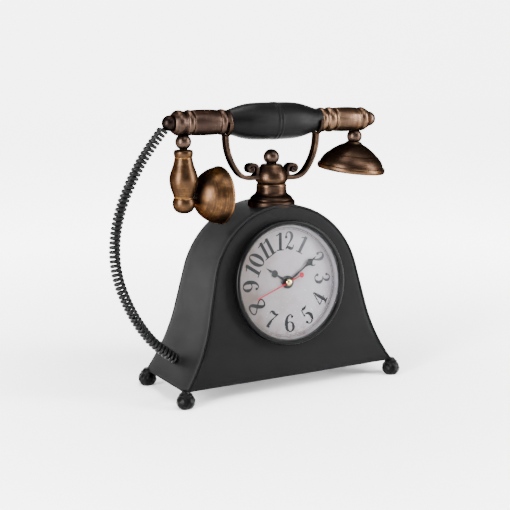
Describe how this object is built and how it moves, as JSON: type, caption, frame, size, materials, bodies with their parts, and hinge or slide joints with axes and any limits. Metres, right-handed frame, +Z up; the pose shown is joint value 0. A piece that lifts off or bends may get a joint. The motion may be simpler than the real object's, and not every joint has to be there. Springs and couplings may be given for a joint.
{
  "type": "telephone-shaped table clock",
  "caption": "Table clock shaped like an antique cradle telephone, with a lift-off handset on a two-armed cradle, a bell receiver, a cup transmitter and a spring cord",
  "frame": {"origin": "on the table, midway between the four feet", "axes": "+Z up, +X to the right across the dial, -Y out of the dial towards the viewer"},
  "size_m": [0.269, 0.093, 0.2497],
  "materials": {
    "charcoal_powder_coat": "matte charcoal powder coat on sheet steel",
    "black_foot_paint": "matte black on rough cast metal",
    "black_bezel": "satin black",
    "clear_glass": "clear polished glass",
    "dial_card": "aged pale grey print",
    "black_case_plastic": "moulded black plastic",
    "plated_steel": "zinc plated steel",
    "movement_brass": "turned brass",
    "dark_hand_paint": "matte dark grey paint",
    "red_hand_paint": "satin red paint",
    "cell_jacket": "plain wrapped jacket",
    "antique_copper": "antique copper, brushed and lacquered",
    "black_grip": "satin black, finely turned",
    "black_spring_wire": "black enamelled spring wire"
  },
  "bodies": {
    "housing": {"side_band": "charcoal_powder_coat", "front_plate": "charcoal_powder_coat", "back_plate": "charcoal_powder_coat", "base_plate": "charcoal_powder_coat", "foot_front_left": "black_foot_paint", "foot_front_right": "black_foot_paint", "foot_back_left": "black_foot_paint", "foot_back_right": "black_foot_paint", "clock_bezel": "black_bezel", "clock_glass": "clear_glass", "dial_plate": "dial_card", "clock_case": "black_case_plastic", "case_retaining_ring": "plated_steel", "movement_case": "black_case_plastic", "movement_bushing": "movement_brass", "movement_washer": "plated_steel", "movement_nut": "movement_brass", "battery_contacts": "plated_steel", "pedestal_base": "antique_copper", "pedestal_dome": "antique_copper", "finial_ball": "antique_copper", "pedestal_stud": "plated_steel", "pedestal_washer": "plated_steel", "pedestal_nut": "plated_steel", "arm_left": "antique_copper", "arm_right": "antique_copper", "scroll_left": "antique_copper", "scroll_right": "antique_copper", "yoke_left": "antique_copper", "yoke_right": "antique_copper", "curly_cord": "black_spring_wire"},
    "handset": {"handset_grip": "black_grip", "ferrule_left": "antique_copper", "barrel_left": "antique_copper", "outer_bead_left": "antique_copper", "end_collar_left": "antique_copper", "end_knob_left": "antique_copper", "grip_ring_right": "antique_copper", "inner_bead_right": "antique_copper", "barrel_right": "antique_copper", "end_collar_right": "antique_copper", "end_knob_right": "antique_copper", "handset_rod": "plated_steel", "drop_ball_left": "antique_copper", "drop_ball_right": "antique_copper", "transmitter_body": "antique_copper", "transmitter_cup": "antique_copper", "cup_stem": "antique_copper", "receiver_bell": "antique_copper", "receiver_rim": "antique_copper"},
    "hour": {"hour_hand": "dark_hand_paint", "hour_pipe": "movement_brass"},
    "minute": {"minute_hand": "dark_hand_paint", "minute_arbor": "movement_brass"},
    "second": {"second_hand": "red_hand_paint", "second_arbor": "plated_steel", "hand_cap": "movement_brass"},
    "knob": {"set_knob": "black_case_plastic"},
    "cell": {"battery_cell": "cell_jacket"}
  },
  "joints": [
    {"name": "handset_lift", "type": "slide", "parent": "housing", "child": "handset", "axis": [0, 0, 1], "range_m": [0, 0.06], "deforming": ["curly_cord"]},
    {"name": "minute_turn", "type": "hinge", "parent": "housing", "child": "minute", "pos_m": [0, -0.02943, 0.0952], "axis": [0, -0.9914, 0.1305], "continuous": true},
    {"name": "hour_turn", "type": "hinge", "parent": "housing", "child": "hour", "pos_m": [0, -0.02943, 0.0952], "axis": [0, -0.9914, 0.1305], "continuous": true},
    {"name": "second_turn", "type": "hinge", "parent": "housing", "child": "second", "pos_m": [0, -0.02943, 0.0952], "axis": [0, -0.9914, 0.1305], "continuous": true},
    {"name": "set_knob_turn", "type": "hinge", "parent": "housing", "child": "knob", "pos_m": [0, -0.00793, 0.10145], "axis": [0, -0.9914, 0.1305], "continuous": true},
    {"name": "battery_slide", "type": "slide", "parent": "housing", "child": "cell", "axis": [0, 0.9914, -0.1305], "range_m": [0, 0.06]}
  ],
  "couplings": [
    {"joint": "hour_turn", "follows": "minute_turn", "ratio": 0.083333},
    {"joint": "set_knob_turn", "follows": "minute_turn", "ratio": -1}
  ]
}
